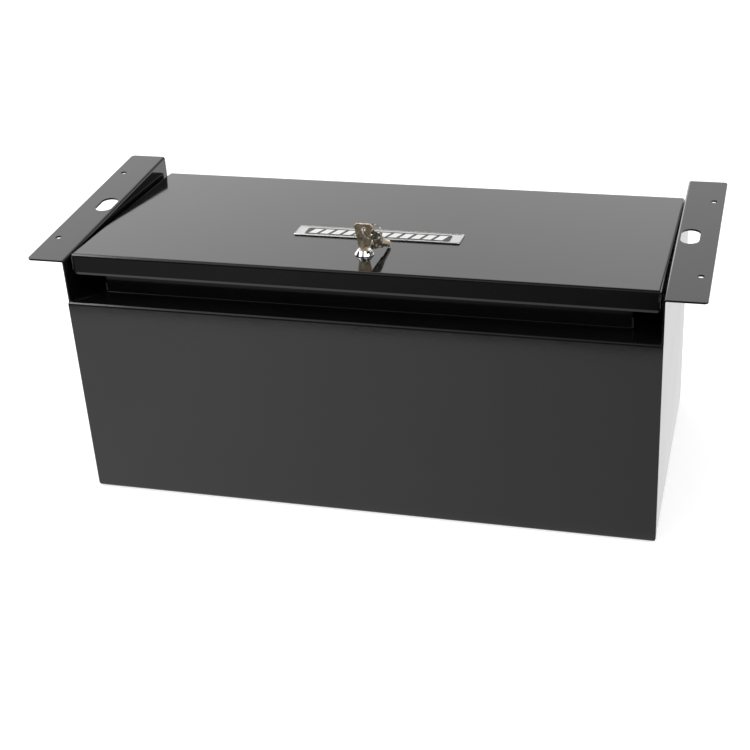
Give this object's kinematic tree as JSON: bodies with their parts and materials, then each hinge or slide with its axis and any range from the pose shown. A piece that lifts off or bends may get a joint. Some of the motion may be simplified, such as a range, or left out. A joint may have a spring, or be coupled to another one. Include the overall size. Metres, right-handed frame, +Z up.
{
  "type": "lockable storage box",
  "caption": "Low black sheet-steel storage box with outward mounting flanges, a recessed sloping lid on a rear piano hinge, and a key-operated cam lock.",
  "frame": {"origin": "centre of the rectangular footprint, on the underside of the bottom", "axes": "+X to the box's right as seen from the front, +Y to the rear where the hinge is, +Z up"},
  "size_m": [0.688, 0.285, 0.3056],
  "materials": {
    "powder_coat": "gloss black powder coat",
    "seal_rubber": "matt",
    "zinc_steel": "zinc plated",
    "plate_aluminium": "brushed",
    "lock_chrome": "polished",
    "key_nickel": "nickel plated"
  },
  "bodies": {
    "box": {"tub_wrap": "powder_coat", "left_side_panel": "powder_coat", "right_side_panel": "powder_coat", "left_ledge": "powder_coat", "right_ledge": "powder_coat", "strike_bracket": "powder_coat", "front_seal": "seal_rubber", "left_seal": "seal_rubber", "right_seal": "seal_rubber", "hinge_body_leaf": "powder_coat", "hinge_pin": "zinc_steel"},
    "lid": {"lid": "powder_coat", "hinge_lid_leaf": "powder_coat", "nameplate": "plate_aluminium", "lock_housing": "lock_chrome", "lock_washer": "zinc_steel", "lock_nut": "zinc_steel"},
    "plug": {"lock_plug": "lock_chrome", "lock_cam": "zinc_steel", "cam_screw": "zinc_steel"},
    "key": {"key": "key_nickel"},
    "ring": {"key_ring": "lock_chrome"},
    "spare": {"spare_key": "key_nickel"}
  },
  "joints": [
    {"name": "lid_hinge", "type": "hinge", "parent": "box", "child": "lid", "pos_m": [0, 0.137, 0.24904], "axis": [-1, 0, 0], "range_deg": [0, 87]},
    {"name": "lock_turn", "type": "hinge", "parent": "lid", "child": "plug", "pos_m": [0, -0.07997, 0.2729], "axis": [0, -0.0842, -0.9964], "range_deg": [0, 90]},
    {"name": "key_pull", "type": "slide", "parent": "plug", "child": "key", "axis": [0, 0.0842, 0.9964], "range_m": [0, 0.018]},
    {"name": "ring_swing", "type": "hinge", "parent": "key", "child": "ring", "pos_m": [0, -0.07773, 0.2994], "axis": [0, -0.9964, 0.0842], "range_deg": [0, 30]},
    {"name": "spare_key_swing", "type": "hinge", "parent": "ring", "child": "spare", "pos_m": [0.01198, -0.08443, 0.2918], "axis": [0.907, 0.4148, -0.0729], "range_deg": [0, 22]}
  ]
}
